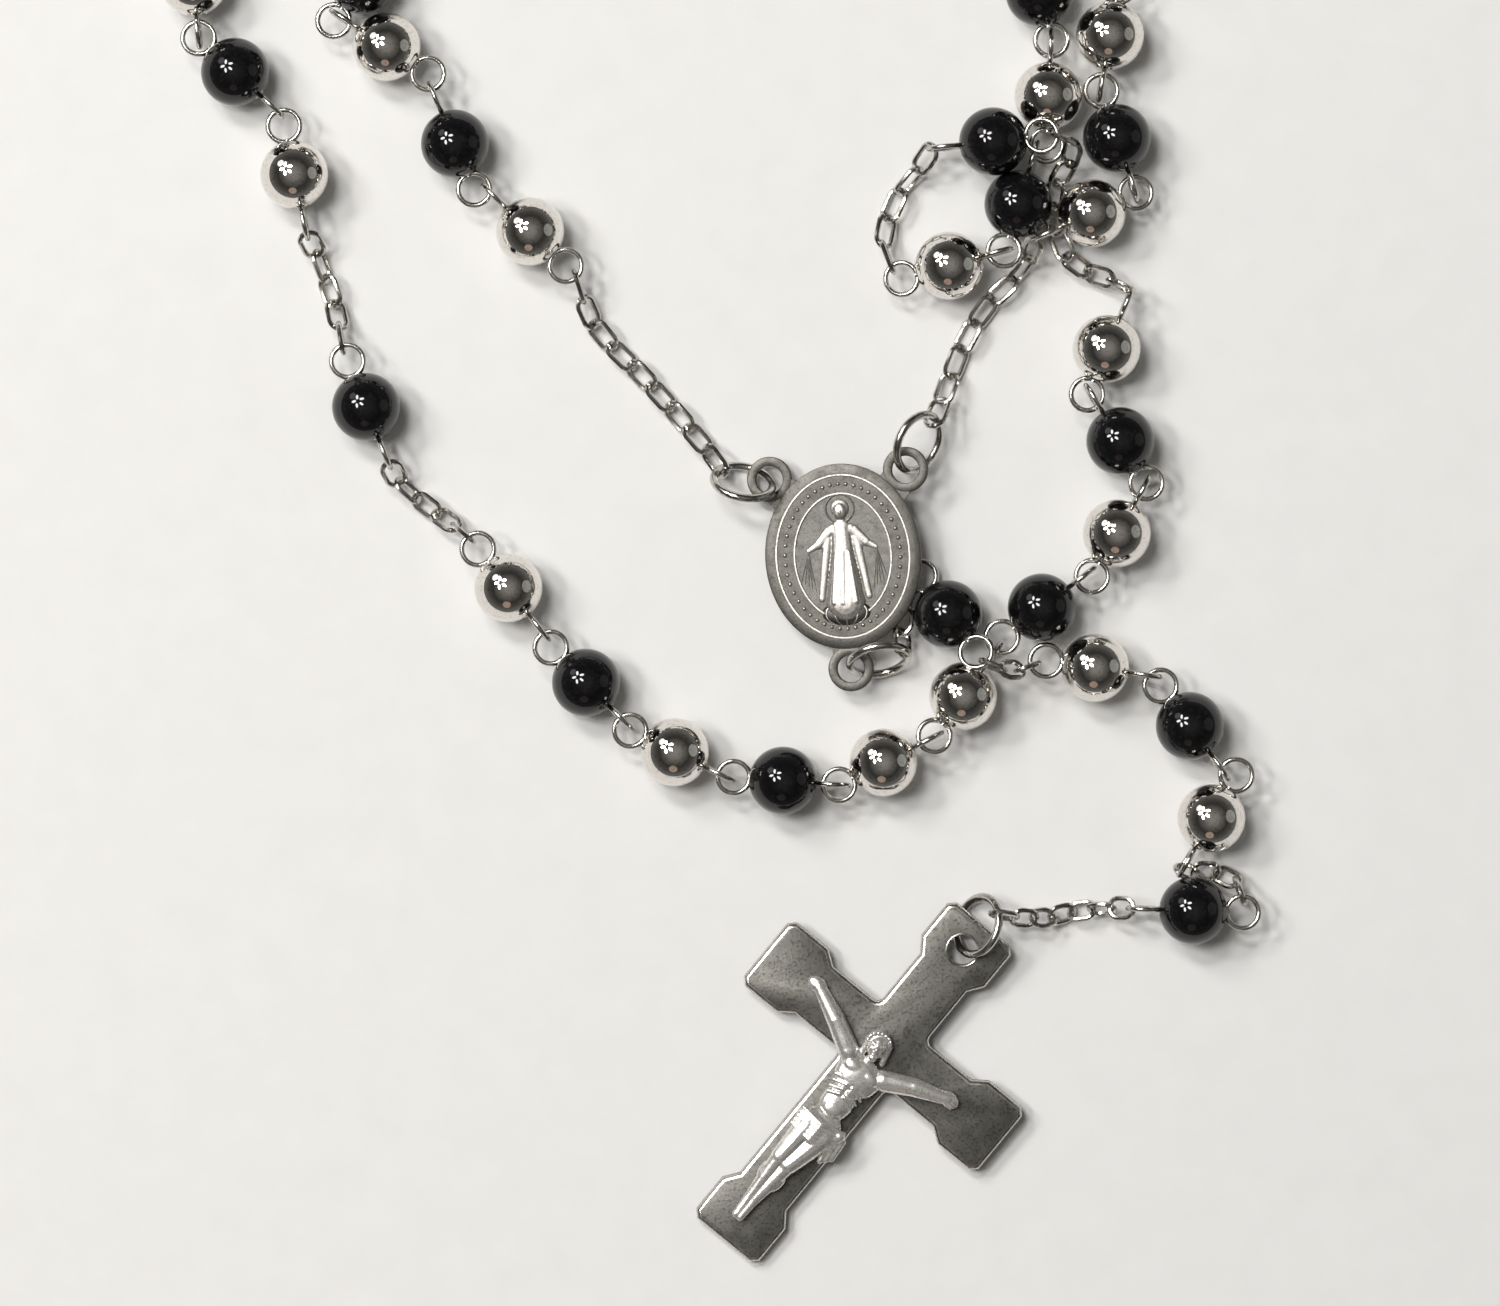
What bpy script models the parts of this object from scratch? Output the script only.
"""A five-decade rosary, laid out on a flat surface.

Beads on wire eye pins are joined eye to eye. Short spacer chains part the decades from
the divider beads. The loop meets at an oval centrepiece medal, and a drop of five beads
hangs from it and ends in a crucifix. +Z is up, +Y runs up the length of the rosary, and
the origin is under the middle of the whole layout, on the surface that it lies on.
"""
import math

import bmesh
import bpy
from mathutils import Matrix, Vector

MM = 0.001

# Driving dimensions, in metres
BEAD_RADIUS = 0.0030
BEAD_Z = 0.00305
PIN_REACH = 0.00435        # bead centre to the centre of each pin eye
EYE_RADIUS = 0.00142       # to the middle of the wire
EYE_WIRE = 0.00024         # wire radius
BEAD_PITCH = 0.0099        # along a run of beads
RUN_RING_LAP = 0.0003      # how far a run's joining rings reach into the beads
LINK_HALF_WIDTH = 0.00082
LINK_WIRE = 0.00022
LINK_PITCH = 0.0026
LINK_LAP = 0.00009         # fused links of one chain cross by this much
LINK_TWIST = 7.0           # degrees, every link hangs a little turned
EYE_PLAY = 0.00028         # half the distance between two linked wires
RING_PLAY = 0.00036
JUMP_RADIUS = 0.0026
JUMP_WIRE = 0.00037

MEDAL_PLACE = Vector((12.4, -35.7, 2.4)) * MM
MEDAL_TURN = math.radians(4.0)
MEDAL_LEAN = math.radians(9.0)      # its right edge rests over the first drop bead's eye
MEDAL_HALF_WIDTH = 0.0069
MEDAL_HALF_HEIGHT = 0.00815
MEDAL_THICKNESS = 0.0006
LUG_RADIUS = 0.0020
LUG_HOLE_RADIUS = 0.0012
LUGS = {"left": (-6.05, 7.2), "right": (6.05, 7.2), "drop": (0.0, -9.9)}

CROSS_PLACE = Vector((15.9, -78.8, 1.45)) * MM
CROSS_TURN = math.radians(-39.4)
CROSS_LEAN = math.radians(-1.6)     # the foot rests on the surface, the head on its ring
CROSS_THICKNESS = 0.0012
CROSS_TOP = 0.0139
CROSS_SIDE = 0.01335
CROSS_FOOT = 0.0221
CROSS_BAR = 0.00265                 # half width of the narrow bars
CROSS_BLOCK = 0.0036                # half width of the end blocks
CROSS_BLOCK_LENGTH = 0.0042
CROSS_SHOULDER = 0.0013
CROSS_CORNER = 0.0006
CROSS_HOLE = (0.0, 11.0)
CROSS_HOLE_RADIUS = 0.0013

STEEL = ("polished_steel", (0.62, 0.60, 0.57), 0.12, 1.0)
BLACK = ("black_gloss", (0.008, 0.008, 0.009), 0.08, 0.0)
SATIN = ("satin_steel", (0.16, 0.155, 0.14), 0.35, 1.0)

# Every place below is in millimetres and every angle in degrees.
# Single beads: finish, x, y, heading of the pin from its first eye to its second,
# and where it isn't level, its pitch. The first eye lies flat and the second stands.
BEADS = {
    "decade1_bead_01": ("steel", -15.1, -7.2, 136, 0),
    "decade1_bead_02": ("black", -21.7, 0.5, 113, 0),
    "decade1_bead_03": ("steel", -27.7, 9.0, 147, 0),
    "decade2_bead_08": ("steel", -44.6, 14.7, 275, 0),
    "decade2_bead_09": ("black", -41.0, 6.8, 317, 0),
    "decade2_bead_10": ("steel", -35.8, -2.2, 282, 0),
    "divider_bead_2": ("black", -29.5, -22.6, 292, 0),
    "decade3_bead_01": ("steel", -17.0, -38.5, 308, 0),
    "decade3_bead_02": ("black", -10.2, -46.8, 315, 0),
    "decade3_bead_03": ("steel", -2.4, -52.9, 334, 0),
    "decade3_bead_04": ("black", 7.1, -55.4, 356, 0),
    "decade3_bead_05": ("steel", 15.9, -53.8, 27, 0),
    "decade3_bead_06": ("steel", 22.9, -48.0, 54, -8),
    "decade3_bead_07": ("black", 29.8, -40.2, 37, 0),
    "decade3_bead_08": ("steel", 36.4, -33.7, 60, 0),
    "decade3_bead_09": ("black", 36.7, -25.6, 122, 0),
    "decade3_bead_10": ("steel", 35.5, -17.5, 67, 0),
    "divider_bead_3": ("black", 25.5, 0.6, 186, -14),
    "decade4_bead_01": ("steel", 21.7, -10.2, 15, 6),
    "decade4_bead_02": ("black", 27.75, -4.8, 73, -7),
    "decade4_bead_03": ("steel", 30.4, 4.7, 88, 0),
    "decade4_bead_04": ("black", 29.6, 13.8, 104, 0),
    "decade5_bead_08": ("steel", 35.8, 10.0, 260, 0),
    "decade5_bead_09": ("black", 36.4, 1.0, 288, 0),
    "decade5_bead_10": ("steel", 34.2, -5.6, 205, 8),
    "drop_bead_1": ("black", 21.6, -40.8, 306, 20),
    "drop_bead_2": ("steel", 34.5, -45.5, 352, 0),
    "drop_bead_3": ("black", 42.8, -50.6, 306, 0),
    "drop_bead_4": ("steel", 44.7, -58.7, 240, 0),
    "drop_bead_5": ("black", 43.1, -66.8, 178, 0),
}

# Where an eye is turned about its pin from the usual flat first and standing second
EYE_ROLLS = {"drop_bead_1": (0, 0)}
# Beads that lie on others, and how far over the surface that holds them up
LIFTS = {"divider_bead_3": 1.35}

# The two folds of the loop, each from its first bead on one side to its last on the other
FOLD_LEFT = [(-29.9, 14.9), (-27.8, 24), (-27.2, 36), (-27.0, 50), (-27.2, 66), (-28.6, 81),
             (-32.0, 92.0), (-36.6, 97.0), (-41.2, 95.8), (-44.6, 88), (-46.0, 77), (-46.5, 63),
             (-46.6, 48), (-46.4, 35), (-45.5, 24.9)]
FOLD_RIGHT = [(27.5, 23.5), (26.6, 33), (26.0, 46), (26.1, 61), (27.0, 75), (29.6, 85),
              (34.2, 91.4), (39.2, 91.6), (42.8, 86), (44.6, 75), (45.1, 61), (44.8, 46),
              (43.6, 34), (40.6, 25), (37.3, 19.8)]
# Runs of joined beads: fold, the side's first end, bead numbers along it, headings of the
# outer ends where they turn away from the route
RUNS = {
    "decade1_beads_04_07": ("left", "start", 0, 4, 56, None),
    "decade1_beads_08_10": ("left", "start", 4, 7, None, None),
    "decade2_beads_01_03": ("left", "end", 0, 3, None, None),
    "decade2_beads_04_07": ("left", "end", 3, 7, None, None),
    "decade4_beads_05_07": ("right", "start", 0, 3, None, None),
    "decade4_beads_08_10": ("right", "start", 3, 6, None, None),
    "decade5_beads_01_03": ("right", "end", 0, 3, None, None),
    "decade5_beads_04_07": ("right", "end", 3, 7, None, None),
}
SIDE_BEADS = {("left", "start"): 7, ("left", "end"): 7, ("right", "start"): 6, ("right", "end"): 7}
OPEN_GAP = 3.0             # left between the loop's two open ends, along the left fold
DIVIDER_SHIFT = {"left": 0.0, "right": -0.3}    # off the middle of the space left for it

# Spacer chains: what they start on and end on, the points between, the number of links,
# how far round its eye each end is hooked, and how much is left off at each end
CHAINS = {
    "ear_chain_left": ("jump_ring_left", "decade1_bead_01",
                       [(0.2, -26.0, 1.1), (-4.8, -20.3, 0.8), (-9.4, -15.5, 1.0)],
                       9, (0, 0), (0.0, 0.0)),
    "ear_chain_right": ("decade5_bead_10", "jump_ring_right",
                        [(28.6, -9.8, 1.7), (27.0, -11.8, 0.95), (24.9, -13.8, 0.95),
                         (22.8, -17.4, 0.85), (21.4, -21.2, 1.2)], 7, (0, 0), (2.0, 0.0)),
    "spacer_chain_2a": ("decade2_bead_10", "divider_bead_2",
                        [(-34.0, -8.9, 1.6), (-32.4, -13.4, 1.0)], 5, (0, 0), (0.0, 0.0)),
    "spacer_chain_2b": ("divider_bead_2", "decade3_bead_01",
                        [(-26.8, -29.1, 1.7), (-24.6, -31.0, 0.8), (-21.8, -33.0, 1.5)],
                        5, (0, 0), (0.0, 0.0)),
    "spacer_chain_3a": ("decade3_bead_10", "divider_bead_3",
                        [(35.8, -11.3, 1.6), (33.2, -10.4, 0.8), (31.7, -8.6, 0.8),
                         (30.85, -4.8, 0.8), (31.4, -2.4, 2.3), (32.6, -0.4, 4.2),
                         (32.3, 0.9, 5.4)], 8, (0, 0), (1.4, 0.0)),
    "spacer_chain_3b": ("divider_bead_3", "decade4_bead_01",
                        [(19.4, -1.2, 2.0), (17.4, -3.6, 1.0), (16.2, -6.4, 1.2),
                         (15.9, -8.8, 2.2)], 5, (0, -60), (0.0, 0.0)),
    "drop_chain_1": ("jump_ring_drop", "drop_bead_1", [(17.7, -41.2, 1.6)], 2, (0, 100),
                     (1.5, 1.2)),
    "drop_chain_2": ("drop_bead_1", "drop_bead_2",
                     [(26.9, -45.8, 5.3)], 3, (0, 25), (0.0, 0.0)),
    "drop_chain_3": ("drop_bead_4", "drop_bead_5",
                     [(43.6, -63.3, 1.2), (45.6, -63.6, 0.8), (47.2, -64.6, 1.9)], 3, (0, 90),
                     (1.8, 0.0)),
    "drop_chain_4": ("drop_bead_5", "jump_ring_cross",
                     [(36.0, -66.6, 2.1), (32.4, -67.0, 0.8), (29.2, -67.6, 2.2)],
                     6, (0, 0), (0.0, 1.5)),
}

# Jump rings: what they pass through, the way they slope up, their slope, and how far round
# from their lowest point the hole and the chain are
JUMP_RINGS = {
    "left": (259, 57, 60, -60),
    "right": (152, 50, 85, -75),
    "drop": (100, 62, 75, -110),
    "cross": (-20, 50, -72, 135),
}

# The order of the pieces along each strand, out from the medal
RIGHT_STRAND = [
    "jump_ring_right", "ear_chain_right", "decade5_bead_10", "decade5_bead_09",
    "decade5_bead_08", "decade5_beads_04_07", "decade5_beads_01_03", "divider_4",
    "decade4_beads_08_10", "decade4_beads_05_07", "decade4_bead_04", "decade4_bead_03",
    "decade4_bead_02", "decade4_bead_01", "spacer_chain_3b", "divider_bead_3",
    "spacer_chain_3a", "decade3_bead_10", "decade3_bead_09", "decade3_bead_08",
    "decade3_bead_07", "decade3_bead_06", "decade3_bead_05", "decade3_bead_04",
    "decade3_bead_03", "decade3_bead_02", "decade3_bead_01", "spacer_chain_2b",
    "divider_bead_2", "spacer_chain_2a", "decade2_bead_10", "decade2_bead_09",
    "decade2_bead_08", "decade2_beads_04_07", "decade2_beads_01_03", "divider_1",
]
LEFT_STRAND = [
    "jump_ring_left", "ear_chain_left", "decade1_bead_01", "decade1_bead_02",
    "decade1_bead_03", "decade1_beads_04_07", "decade1_beads_08_10",
]
DROP_STRAND = [
    "jump_ring_drop", "drop_chain_1", "drop_bead_1", "drop_chain_2", "drop_bead_2",
    "drop_bead_3", "drop_bead_4", "drop_chain_3", "drop_bead_5", "drop_chain_4",
    "jump_ring_cross", "cross_plate",
]


# --- Scene, materials and small helpers ---------------------------------------------

def clear_scene():
    for item in list(bpy.data.objects):
        bpy.data.objects.remove(item, do_unlink=True)


def collection(name):
    made = bpy.data.collections.new(name)
    bpy.context.scene.collection.children.link(made)
    return made


def material(name, finish):
    slot, colour, roughness, metallic = finish
    made = bpy.data.materials.new(f"{slot}_{name}")
    made.use_nodes = True
    shader = made.node_tree.nodes["Principled BSDF"]
    shader.inputs["Base Color"].default_value = (*colour, 1.0)
    shader.inputs["Roughness"].default_value = roughness
    shader.inputs["Metallic"].default_value = metallic
    return made


def take_active():
    """The primitive that was just added, out of whatever collection it landed in."""
    item = bpy.context.active_object
    for home in list(item.users_collection):
        home.objects.unlink(item)
    return item


def put(item, name, home, finish):
    item.name = name
    item.data.name = name
    home.objects.link(item)
    item.data.materials.clear()
    item.data.materials.append(material(name, finish))
    item.data.shade_smooth()
    item.data.set_sharp_from_angle(angle=math.radians(40))
    return item


def fuse(base, *others):
    """Join closed solids that cross each other into one, with live Booleans applied."""
    scene = bpy.context.scene.collection
    for other in others:
        for item in (base, other):
            if item.name not in scene.objects:
                scene.objects.link(item)
        joint = base.modifiers.new("joined", "BOOLEAN")
        joint.operation = "UNION"
        joint.solver = "EXACT"
        joint.object = other
        shape = bpy.data.meshes.new_from_object(
            base.evaluated_get(bpy.context.evaluated_depsgraph_get()))
        base.modifiers.clear()
        base.data = shape
        bpy.data.objects.remove(other, do_unlink=True)
    if base.name in scene.objects:
        scene.objects.unlink(base)
    return base


def cut(base, cutter, home):
    """Take a guide solid out of a plate and keep the guide, hidden, with the cutters."""
    hole = base.modifiers.new("hole", "BOOLEAN")
    hole.operation = "DIFFERENCE"
    hole.solver = "EXACT"
    hole.object = cutter
    cutter.hide_render = True
    cutter.display_type = "WIRE"
    home.objects.link(cutter)


def merged(shapes, name):
    """Several loose closed shapes as one mesh object, not yet fused."""
    gathered = bmesh.new()
    for shape in shapes:
        gathered.from_mesh(shape)
        bpy.data.meshes.remove(shape)
    mesh = bpy.data.meshes.new(name)
    gathered.to_mesh(mesh)
    gathered.free()
    return bpy.data.objects.new(name, mesh)


def frame(along, bar):
    """A turn that lays local X along a direction and local Y as near as can be to bar."""
    x = along.normalized()
    y = (bar - x * bar.dot(x)).normalized()
    z = x.cross(y)
    return Matrix((x, y, z)).transposed().to_4x4()


# --- Wire and bead shapes --------------------------------------------------------------

def ring_mesh(radius, wire, place, segments=8, sides=3, stretch=0.0):
    """A ring of wire in its local XY plane, drawn out along X where stretch is given."""
    bpy.ops.mesh.primitive_torus_add(major_segments=segments, minor_segments=sides,
                                     major_radius=radius, minor_radius=wire)
    item = bpy.context.active_object
    mesh = item.data.copy()
    bpy.data.objects.remove(item, do_unlink=True)
    if stretch:
        mesh.transform(Matrix.Rotation(math.pi / segments, 4, "Z"))
        for vertex in mesh.vertices:
            vertex.co.x += math.copysign(stretch, vertex.co.x)
    mesh.transform(place)
    return mesh


def ball_mesh(place, around=8, rings=5):
    """A bead, with its poles on local X where the pin comes out."""
    bpy.ops.mesh.primitive_uv_sphere_add(segments=around, ring_count=rings,
                                         radius=BEAD_RADIUS)
    item = bpy.context.active_object
    mesh = item.data.copy()
    bpy.data.objects.remove(item, do_unlink=True)
    mesh.transform(place @ Matrix.Rotation(math.pi / 2, 4, "Y"))
    return mesh


class Pin:
    """A bead's eye pin: its place, its direction, and what can be linked at each eye."""

    def __init__(self, place, along, rolls=(0, 90)):
        self.place = place
        self.along = along.normalized()
        side = self.along.cross(Vector((0, 0, 1))).normalized()
        up = side.cross(self.along)
        self.normals = []
        for roll in rolls:
            angle = math.radians(roll)
            self.normals.append(up * math.cos(angle) + side * math.sin(angle))

    def outward(self, end):
        return self.along * (-1 if end == 0 else 1)

    def eye(self, end):
        return self.place + self.outward(end) * PIN_REACH

    def joint(self, end, round_eye=0):
        """Where the eye's far wire, or the wire that far round from it, meets a link."""
        turn = Matrix.Rotation(math.radians(round_eye), 4, self.normals[end])
        return self.eye(end) + turn @ self.outward(end) * (EYE_RADIUS - EYE_PLAY)

    def eye_mesh(self, end):
        turn = frame(self.along, self.normals[end].cross(self.along))
        return ring_mesh(EYE_RADIUS, EYE_WIRE, Matrix.Translation(self.eye(end)) @ turn)


def pin_of(name):
    finish, x, y, heading, pitch = BEADS[name]
    angle, rise = math.radians(heading), math.radians(pitch)
    along = Vector((math.cos(angle) * math.cos(rise), math.sin(angle) * math.cos(rise),
                    math.sin(rise)))
    place = Vector((x * MM, y * MM, BEAD_Z + LIFTS.get(name, 0) * MM))
    return Pin(place, along, EYE_ROLLS.get(name, (0, 90)))


def bead_unit(name, pin):
    """One bead with the two eyes of its pin."""
    turn = Matrix.Translation(pin.place) @ frame(pin.along, pin.normals[0].cross(pin.along))
    ball = merged([ball_mesh(turn)], name)
    eyes = merged([pin.eye_mesh(0), pin.eye_mesh(1)], name + "_eyes")
    return fuse(ball, eyes)


# --- Routes ------------------------------------------------------------------------------

def smooth(points, steps=12):
    """A smooth curve through the points, as a fine polyline (Catmull-Rom)."""
    ends = [points[0] * 2 - points[1]] + list(points) + [points[-1] * 2 - points[-2]]
    line = []
    for a, b, c, d in zip(ends, ends[1:], ends[2:], ends[3:]):
        for step in range(steps):
            t = step / steps
            line.append((b * 2 + (c - a) * t + (a * 2 - b * 5 + c * 4 - d) * t * t
                         + (b * 3 - a - c * 3 + d) * t * t * t) / 2)
    line.append(points[-1])
    return line


def length(line):
    return sum((b - a).length for a, b in zip(line, line[1:]))


def along_line(line, distance):
    """The point that far along a polyline, and the direction there."""
    for a, b in zip(line, line[1:]):
        piece = (b - a).length
        if distance <= piece:
            return a + (b - a) * (distance / piece), (b - a).normalized()
        distance -= piece
    return line[-1], (line[-1] - line[-2]).normalized()


def fold_line(side):
    route = FOLD_LEFT if side == "left" else FOLD_RIGHT
    return smooth([Vector((x * MM, y * MM, BEAD_Z)) for x, y in route])


def fold_pins(side, end):
    """The pins of the beads on one side of a fold, in the order of the route."""
    line = fold_line(side)
    count = SIDE_BEADS[side, end]
    first = 0.0 if end == "start" else length(line) - (count - 1) * BEAD_PITCH
    pins = []
    for index in range(count):
        place, along = along_line(line, first + index * BEAD_PITCH)
        pins.append(Pin(place, along))
    return pins


def run_pins(name):
    side, end, first, last, head, tail = RUNS[name]
    pins = fold_pins(side, end)[first:last]
    for index, heading in ((0, head), (-1, tail)):
        if heading is not None:
            angle = math.radians(heading)
            pins[index] = Pin(pins[index].place, Vector((math.cos(angle), math.sin(angle), 0)))
    return pins


def bead_run(name):
    """Several beads joined by a ring between each two, with an open eye at each end."""
    pins = run_pins(name)
    balls = []
    rings = [pins[0].eye_mesh(0), pins[-1].eye_mesh(1)]
    for pin in pins:
        turn = Matrix.Translation(pin.place) @ frame(pin.along, Vector((0, 0, 1)))
        balls.append(ball_mesh(turn))
    for index, (one, two) in enumerate(zip(pins, pins[1:])):
        gap = (two.place - one.place).length / 2 - BEAD_RADIUS
        bar = Vector((0, 0, 1)) if index % 2 else (two.place - one.place).cross((0, 0, 1))
        place = Matrix.Translation((one.place + two.place) / 2)
        place = place @ frame(two.place - one.place, bar)
        rings.append(ring_mesh(gap + RUN_RING_LAP - EYE_WIRE, EYE_WIRE, place))
    return fuse(merged(balls, name), merged(rings, name + "_rings"))


# --- Chains --------------------------------------------------------------------------------

def bar_roll(along, bar):
    """The roll of a link about its length: 0 lies flat, 90 stands."""
    side = along.cross(Vector((0, 0, 1))).normalized()
    up = side.cross(along)
    return math.degrees(math.atan2(bar.dot(up), bar.dot(side)))


def link_rolls(count, first, last):
    """Rolls from one end's to the other's, with the links between lying low."""
    rolls = [first]
    for index in range(1, count - 1):
        back = rolls[-1]
        low = 60 if index == 1 and abs((first + 90) % 180 - 90) < 40 else 36
        rolls.append(low if abs((back - low + 90) % 180 - 90) > abs(
            (back + low + 90) % 180 - 90) else -low)
    if count > 1:
        rolls.append(last)
    return rolls


def chain_points(start, end, between, count, left_off=(0.0, 0.0)):
    """The ends of the links: equal steps along the smooth route."""
    line = smooth([start] + [Vector(point) * MM for point in between] + [end])
    first = left_off[0] * MM
    whole = length(line) - first - left_off[1] * MM
    return [along_line(line, first + whole * index / count)[0] for index in range(count + 1)]


def chain_meshes(points, first_bar, last_bar, first_play, last_play):
    """The links of a chain, as two sets whose members don't touch their own kind."""
    count = len(points) - 1
    steps = [b - a for a, b in zip(points, points[1:])]
    rolls = link_rolls(count, bar_roll(steps[0].normalized(), first_bar),
                       bar_roll(steps[-1].normalized(), last_bar))
    sets = ([], [])
    for index, step in enumerate(steps):
        along = step.normalized()
        start = points[index] - along * (first_play if index == 0 else LINK_LAP)
        end = points[index + 1] + along * (last_play if index == count - 1 else LINK_LAP)
        side = along.cross(Vector((0, 0, 1))).normalized()
        up = side.cross(along)
        roll = math.radians(rolls[index] + LINK_TWIST)
        bar = side * math.cos(roll) + up * math.sin(roll)
        flat = LINK_HALF_WIDTH * math.cos(math.pi / 8)
        place = Matrix.Translation((start + end) / 2) @ frame(along, bar)
        sets[index % 2].append(ring_mesh(LINK_HALF_WIDTH, LINK_WIRE, place, segments=8,
                                         stretch=(end - start).length / 2 - flat))
    return sets


def chain_solid(name, points, first_bar, last_bar, first_play, last_play):
    odd, even = chain_meshes(points, first_bar, last_bar, first_play, last_play)
    solid = merged(odd, name)
    if even:
        solid = fuse(solid, merged(even, name + "_even"))
    return solid


# --- Plates and jump rings ------------------------------------------------------------------

def medal_matrix():
    """The medal's own frame: its face is +Z and its top is +Y."""
    turn = Matrix.Rotation(MEDAL_TURN, 4, "Z") @ Matrix.Rotation(-MEDAL_LEAN, 4, "Y")
    return Matrix.Translation(MEDAL_PLACE) @ turn


def cross_matrix():
    """The cross's own frame: its face is +Z and its top is +Y."""
    turn = Matrix.Rotation(CROSS_TURN, 4, "Z") @ Matrix.Rotation(-CROSS_LEAN, 4, "X")
    return Matrix.Translation(CROSS_PLACE) @ turn


def hole_place(which):
    if which == "cross":
        return cross_matrix() @ (Vector((*CROSS_HOLE, 0)) * MM)
    return medal_matrix() @ (Vector((*LUGS[which], 0)) * MM)


class JumpRing:
    """A round ring of wire that leans in a hole."""

    def __init__(self, which):
        heading, slope, hole_angle, chain_angle = (math.radians(a) for a in JUMP_RINGS[which])
        self.level = Vector((-math.sin(heading), math.cos(heading), 0))
        self.rise = Vector((math.cos(heading) * math.cos(slope),
                            math.sin(heading) * math.cos(slope), math.sin(slope)))
        self.normal = self.level.cross(self.rise)
        self.hole = hole_place(which)
        self.place = self.hole - self.radius_at(hole_angle)
        self.chain_angle = chain_angle

    def radius_at(self, angle):
        return (self.level * math.sin(angle) - self.rise * math.cos(angle)) * JUMP_RADIUS

    def joint(self):
        out = self.radius_at(self.chain_angle)
        return self.place + out * ((JUMP_RADIUS - RING_PLAY) / JUMP_RADIUS)

    def mesh(self):
        place = Matrix.Translation(self.place) @ frame(self.level, self.rise)
        return ring_mesh(JUMP_RADIUS, JUMP_WIRE, place, segments=14, sides=4)


def disc(radius, depth, place, around=16):
    bpy.ops.mesh.primitive_cylinder_add(vertices=around, radius=radius, depth=depth)
    item = take_active()
    item.data.transform(place)
    return item


def build_medal(home, cutters):
    plate = disc(1.0, MEDAL_THICKNESS, Matrix.Identity(4), around=32)
    plate.data.transform(Matrix.Diagonal((MEDAL_HALF_WIDTH, MEDAL_HALF_HEIGHT, 1, 1)))
    for x, y in LUGS.values():
        plate = fuse(plate, disc(LUG_RADIUS, MEDAL_THICKNESS,
                                 Matrix.Translation(Vector((x, y, 0)) * MM)))
    for name, (x, y) in LUGS.items():
        cutter = disc(LUG_HOLE_RADIUS, MEDAL_THICKNESS * 3,
                      Matrix.Translation(Vector((x, y, 0)) * MM))
        cutter.name = "hole_" + name
        cutter.matrix_world = medal_matrix()
        cut(plate, cutter, cutters)
    plate.matrix_world = medal_matrix()
    return put(plate, "centerpiece_medal", home, SATIN)


def cross_outline():
    """One quarter-turn arm after another, each with a block at its end."""
    points = []
    for turn, reach in ((0, CROSS_SIDE), (90, CROSS_TOP), (180, CROSS_SIDE), (270, CROSS_FOOT)):
        neck = reach - CROSS_BLOCK_LENGTH - CROSS_SHOULDER
        block = reach - CROSS_BLOCK_LENGTH
        side = [(CROSS_BAR, CROSS_BAR), (neck, CROSS_BAR), (block, CROSS_BLOCK),
                (reach - CROSS_CORNER, CROSS_BLOCK), (reach, CROSS_BLOCK - CROSS_CORNER)]
        spin = Matrix.Rotation(math.radians(turn), 2)
        arm = [(x, -y) for x, y in side[1:]] + [(x, y) for x, y in reversed(side)]
        points += [spin @ Vector(point) for point in arm]
    return points


def build_cross(home, cutters):
    curve = bpy.data.curves.new("cross_outline", "CURVE")
    curve.dimensions = "2D"
    curve.fill_mode = "BOTH"
    curve.extrude = CROSS_THICKNESS / 2
    outline = cross_outline()
    spline = curve.splines.new("POLY")
    spline.points.add(len(outline) - 1)
    spline.use_cyclic_u = True
    for point, (x, y) in zip(spline.points, outline):
        point.co = (x, y, 0, 1)
    flat = bpy.data.objects.new("cross_outline", curve)
    bpy.context.scene.collection.objects.link(flat)
    mesh = bpy.data.meshes.new_from_object(
        flat.evaluated_get(bpy.context.evaluated_depsgraph_get()))
    bpy.data.objects.remove(flat, do_unlink=True)
    shape = bmesh.new()
    shape.from_mesh(mesh)
    bmesh.ops.remove_doubles(shape, verts=shape.verts, dist=0.00001)
    shape.to_mesh(mesh)
    shape.free()
    plate = bpy.data.objects.new("cross_plate", mesh)
    cutter = disc(CROSS_HOLE_RADIUS, CROSS_THICKNESS * 3,
                  Matrix.Translation(Vector((*CROSS_HOLE, 0)) * MM))
    cutter.name = "hole_cross"
    cutter.matrix_world = cross_matrix()
    cut(plate, cutter, cutters)
    plate.matrix_world = cross_matrix()
    return put(plate, "cross_plate", home, SATIN)


# The figure's skeleton in the cross's own frame: places in millimetres and half widths
FIGURE = {
    "head": (-0.4, 0.2, 1.1), "crown": (-0.5, 1.1, 0.9), "neck": (-0.2, -1.6, 0.6),
    "chest": (-0.1, -3.2, 1.5), "waist": (0.0, -6.2, 1.1), "hips": (0.1, -8.6, 1.7),
    "knees": (-0.6, -13.2, 1.1), "ankles": (-0.9, -17.4, 0.7), "toes": (-0.6, -19.6, 0.7),
    "shoulder_l": (-2.3, -2.0, 0.7), "elbow_l": (-4.6, -0.7, 0.6), "hand_l": (-7.6, 0.5, 0.5),
    "shoulder_r": (2.0, -2.2, 0.7), "elbow_r": (4.2, -0.9, 0.6), "hand_r": (7.2, 0.0, 0.5),
}
FIGURE_BONES = [
    ("crown", "head"), ("head", "neck"), ("neck", "chest"), ("chest", "waist"),
    ("waist", "hips"), ("hips", "knees"), ("knees", "ankles"), ("ankles", "toes"),
    ("chest", "shoulder_l"), ("shoulder_l", "elbow_l"), ("elbow_l", "hand_l"),
    ("chest", "shoulder_r"), ("shoulder_r", "elbow_r"), ("elbow_r", "hand_r"),
]
FIGURE_RISE = 1.15         # the skeleton's height over the plate's face
FIGURE_DEPTH = 0.62        # how flat the relief is


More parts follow.
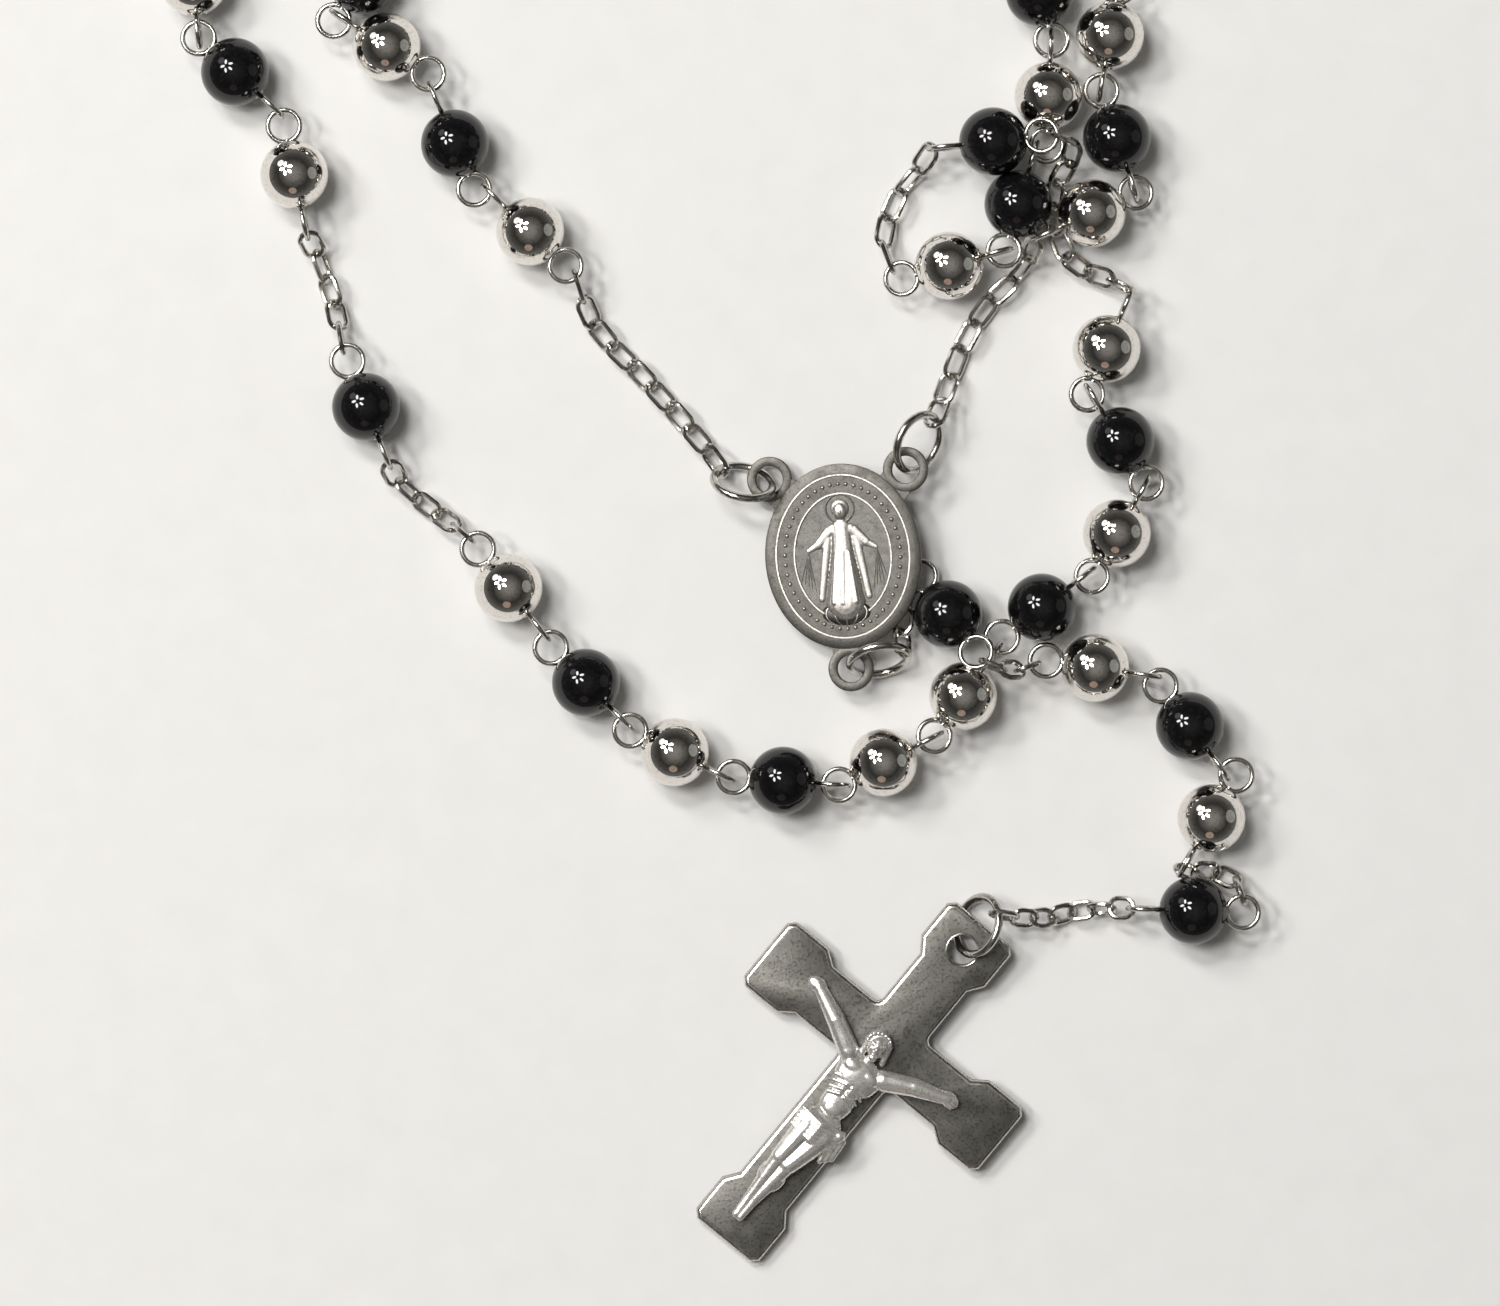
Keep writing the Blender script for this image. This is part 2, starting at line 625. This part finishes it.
def build_figure(home):
    """The cast figure on the cross, as a skinned skeleton that is pressed flat."""
    mesh = bpy.data.meshes.new("corpus_figure")
    order = list(FIGURE)
    mesh.from_pydata([Vector((*FIGURE[name][:2], 0)) for name in order],
                     [(order.index(a), order.index(b)) for a, b in FIGURE_BONES], [])
    figure = bpy.data.objects.new("corpus_figure", mesh)
    bpy.context.scene.collection.objects.link(figure)
    skin = figure.modifiers.new("skin", "SKIN")
    skin.use_smooth_shade = True
    for vertex, name in zip(mesh.skin_vertices[0].data, order):
        half = FIGURE[name][2]
        vertex.radius = (half, half)
        vertex.use_root = name == "chest"
    shape = bpy.data.meshes.new_from_object(
        figure.evaluated_get(bpy.context.evaluated_depsgraph_get()))
    bpy.data.objects.remove(figure, do_unlink=True)
    rise = FIGURE_RISE * MM + CROSS_THICKNESS / 2
    shape.transform(Matrix.Translation((0, 0, rise)) @ Matrix.Diagonal(
        (MM, MM, MM * FIGURE_DEPTH, 1)))
    solid = bpy.data.objects.new("corpus_figure", shape)
    solid.matrix_world = cross_matrix()
    return put(solid, "corpus_figure", home, STEEL)


# --- Assembly ----------------------------------------------------------------------------

def divider_length(side):
    """What is left of a fold between the beads of its two sides."""
    beads = SIDE_BEADS[side, "start"] + SIDE_BEADS[side, "end"] - 2
    return length(fold_line(side)) - beads * BEAD_PITCH


def divider_pin(side):
    line = fold_line(side)
    middle = (SIDE_BEADS[side, "start"] - 1) * BEAD_PITCH + divider_length(side) / 2
    place, along = along_line(line, middle + DIVIDER_SHIFT[side] * MM)
    return Pin(place, along)


def divider_solid(name, side):
    """A divider bead joined to the chains on both sides of it."""
    line = fold_line(side)
    pin = divider_pin(side)
    before = fold_pins(side, "start")[-1]
    after = fold_pins(side, "end")[0]
    gap = OPEN_GAP * MM if side == "left" else 0.0
    near = before.joint(1) + before.along * gap
    far = after.joint(0)
    solid = bead_unit(name, pin)
    reach = divider_length(side) / 2
    base = (SIDE_BEADS[side, "start"] - 1) * BEAD_PITCH
    halfway = (reach + gap) / 2
    low = Vector((0, 0, BEAD_Z - 0.0016))
    one = along_line(line, base + halfway)[0] - low
    two = along_line(line, base + reach * 1.5)[0] - low
    in_eye = pin.eye(0) + pin.outward(0) * EYE_RADIUS
    out_eye = pin.eye(1) + pin.outward(1) * EYE_RADIUS
    chains = []
    for start, end, middle, bars, plays in (
            (near, in_eye, one, (before.normals[1], pin.normals[0]), (EYE_PLAY, LINK_LAP)),
            (out_eye, far, two, (pin.normals[1], after.normals[0]), (LINK_LAP, EYE_PLAY))):
        count = round((end - start).length / LINK_PITCH)
        points = chain_points(start, end, [middle / MM], count)
        chains.append(chain_solid(name + "_chain", points, *bars, *plays))
    return fuse(solid, *chains)


def port(name, end, round_eye=0):
    """The joint, and the direction of the wire that a chain's end link has to cross."""
    if name.startswith("jump_ring"):
        ring = JumpRing(name.removeprefix("jump_ring_"))
        return ring.joint(), ring.normal, RING_PLAY
    pin = pin_of(name)
    return pin.joint(end, round_eye), pin.normals[end], EYE_PLAY


def ends_of(name):
    """Where a piece is linked at its first and second end, along the order of the loop."""
    if name in BEADS:
        pin = pin_of(name)
        return pin.joint(0), pin.joint(1)
    if name in RUNS:
        pins = run_pins(name)
        return pins[0].joint(0), pins[-1].joint(1)
    if name in CHAINS:
        start, end, between, count, turns, left_off = CHAINS[name]
        return port(start, 1, turns[0])[0], port(end, 0, turns[1])[0]
    if name in ("divider_1", "divider_4"):
        side = "left" if name == "divider_1" else "right"
        return fold_pins(side, "start")[-1].joint(1), fold_pins(side, "end")[0].joint(0)
    if name == "cross_plate":
        return hole_place("cross"), cross_matrix().translation
    ring = JumpRing(name.removeprefix("jump_ring_"))
    return ring.hole, ring.joint()


def hinge_points(strand, forward):
    """The place of each piece's hinge: its link to the piece before it."""
    near = 0 if forward else 1
    points = []
    for index, name in enumerate(strand):
        here = ends_of(name)
        if name.startswith("jump_ring"):
            point = here[0] if index == 0 else here[1]
        elif index and not strand[index - 1].startswith("jump_ring") and name != "cross_plate":
            before = ends_of(strand[index - 1])
            point = (here[near] + before[1 - near]) / 2
        else:
            point = here[near]
        points.append(point)
    return points


def build_piece(name):
    if name in BEADS:
        return bead_unit(name, pin_of(name))
    if name in RUNS:
        return bead_run(name)
    if name in CHAINS:
        start, end, between, count, turns, left_off = CHAINS[name]
        first, first_bar, first_play = port(start, 1, turns[0])
        last, last_bar, last_play = port(end, 0, turns[1])
        points = chain_points(first, last, between, count, left_off)
        return chain_solid(name, points, first_bar, last_bar, first_play, last_play)
    if name in ("divider_1", "divider_4"):
        return divider_solid(name, "left" if name == "divider_1" else "right")
    return merged([JumpRing(name.removeprefix("jump_ring_")).mesh()], name)


def finish_of(name):
    if name in BEADS:
        return STEEL if BEADS[name][0] == "steel" else BLACK
    return BLACK if name.startswith("divider") else STEEL


def build_strand(strand, forward, home, cutters, root):
    """Each piece hangs on an empty at its hinge, and that on the piece before it."""
    holder = root
    for name, point in zip(strand, hinge_points(strand, forward)):
        pivot = bpy.data.objects.new("pivot_" + name, None)
        pivot.empty_display_size = 0.001
        home.objects.link(pivot)
        pivot.parent = holder
        pivot.location = point - (Vector(holder["place"]) if holder else Vector())
        pivot["place"] = point
        if name == "cross_plate":
            pieces = [build_cross(home, cutters), build_figure(home)]
        else:
            pieces = [put(build_piece(name), name, home, finish_of(name))]
        for piece in pieces:
            piece.parent = pivot
            piece.matrix_parent_inverse = Matrix.Translation(-point)
        holder = pivot
    return holder


def main():
    clear_scene()
    home = collection("rosary")
    cutters = collection("cutters")
    cutters.hide_render = True
    build_medal(home, cutters)
    build_strand(LEFT_STRAND, True, home, cutters, None)
    build_strand(RIGHT_STRAND, False, home, cutters, None)
    build_strand(DROP_STRAND, True, home, cutters, None)
    for name in ("hole_cross",):
        hole = bpy.data.objects[name]
        hole.parent = bpy.data.objects["pivot_cross_plate"]
        hole.matrix_parent_inverse = Matrix.Translation(-hole_place("cross"))


main()
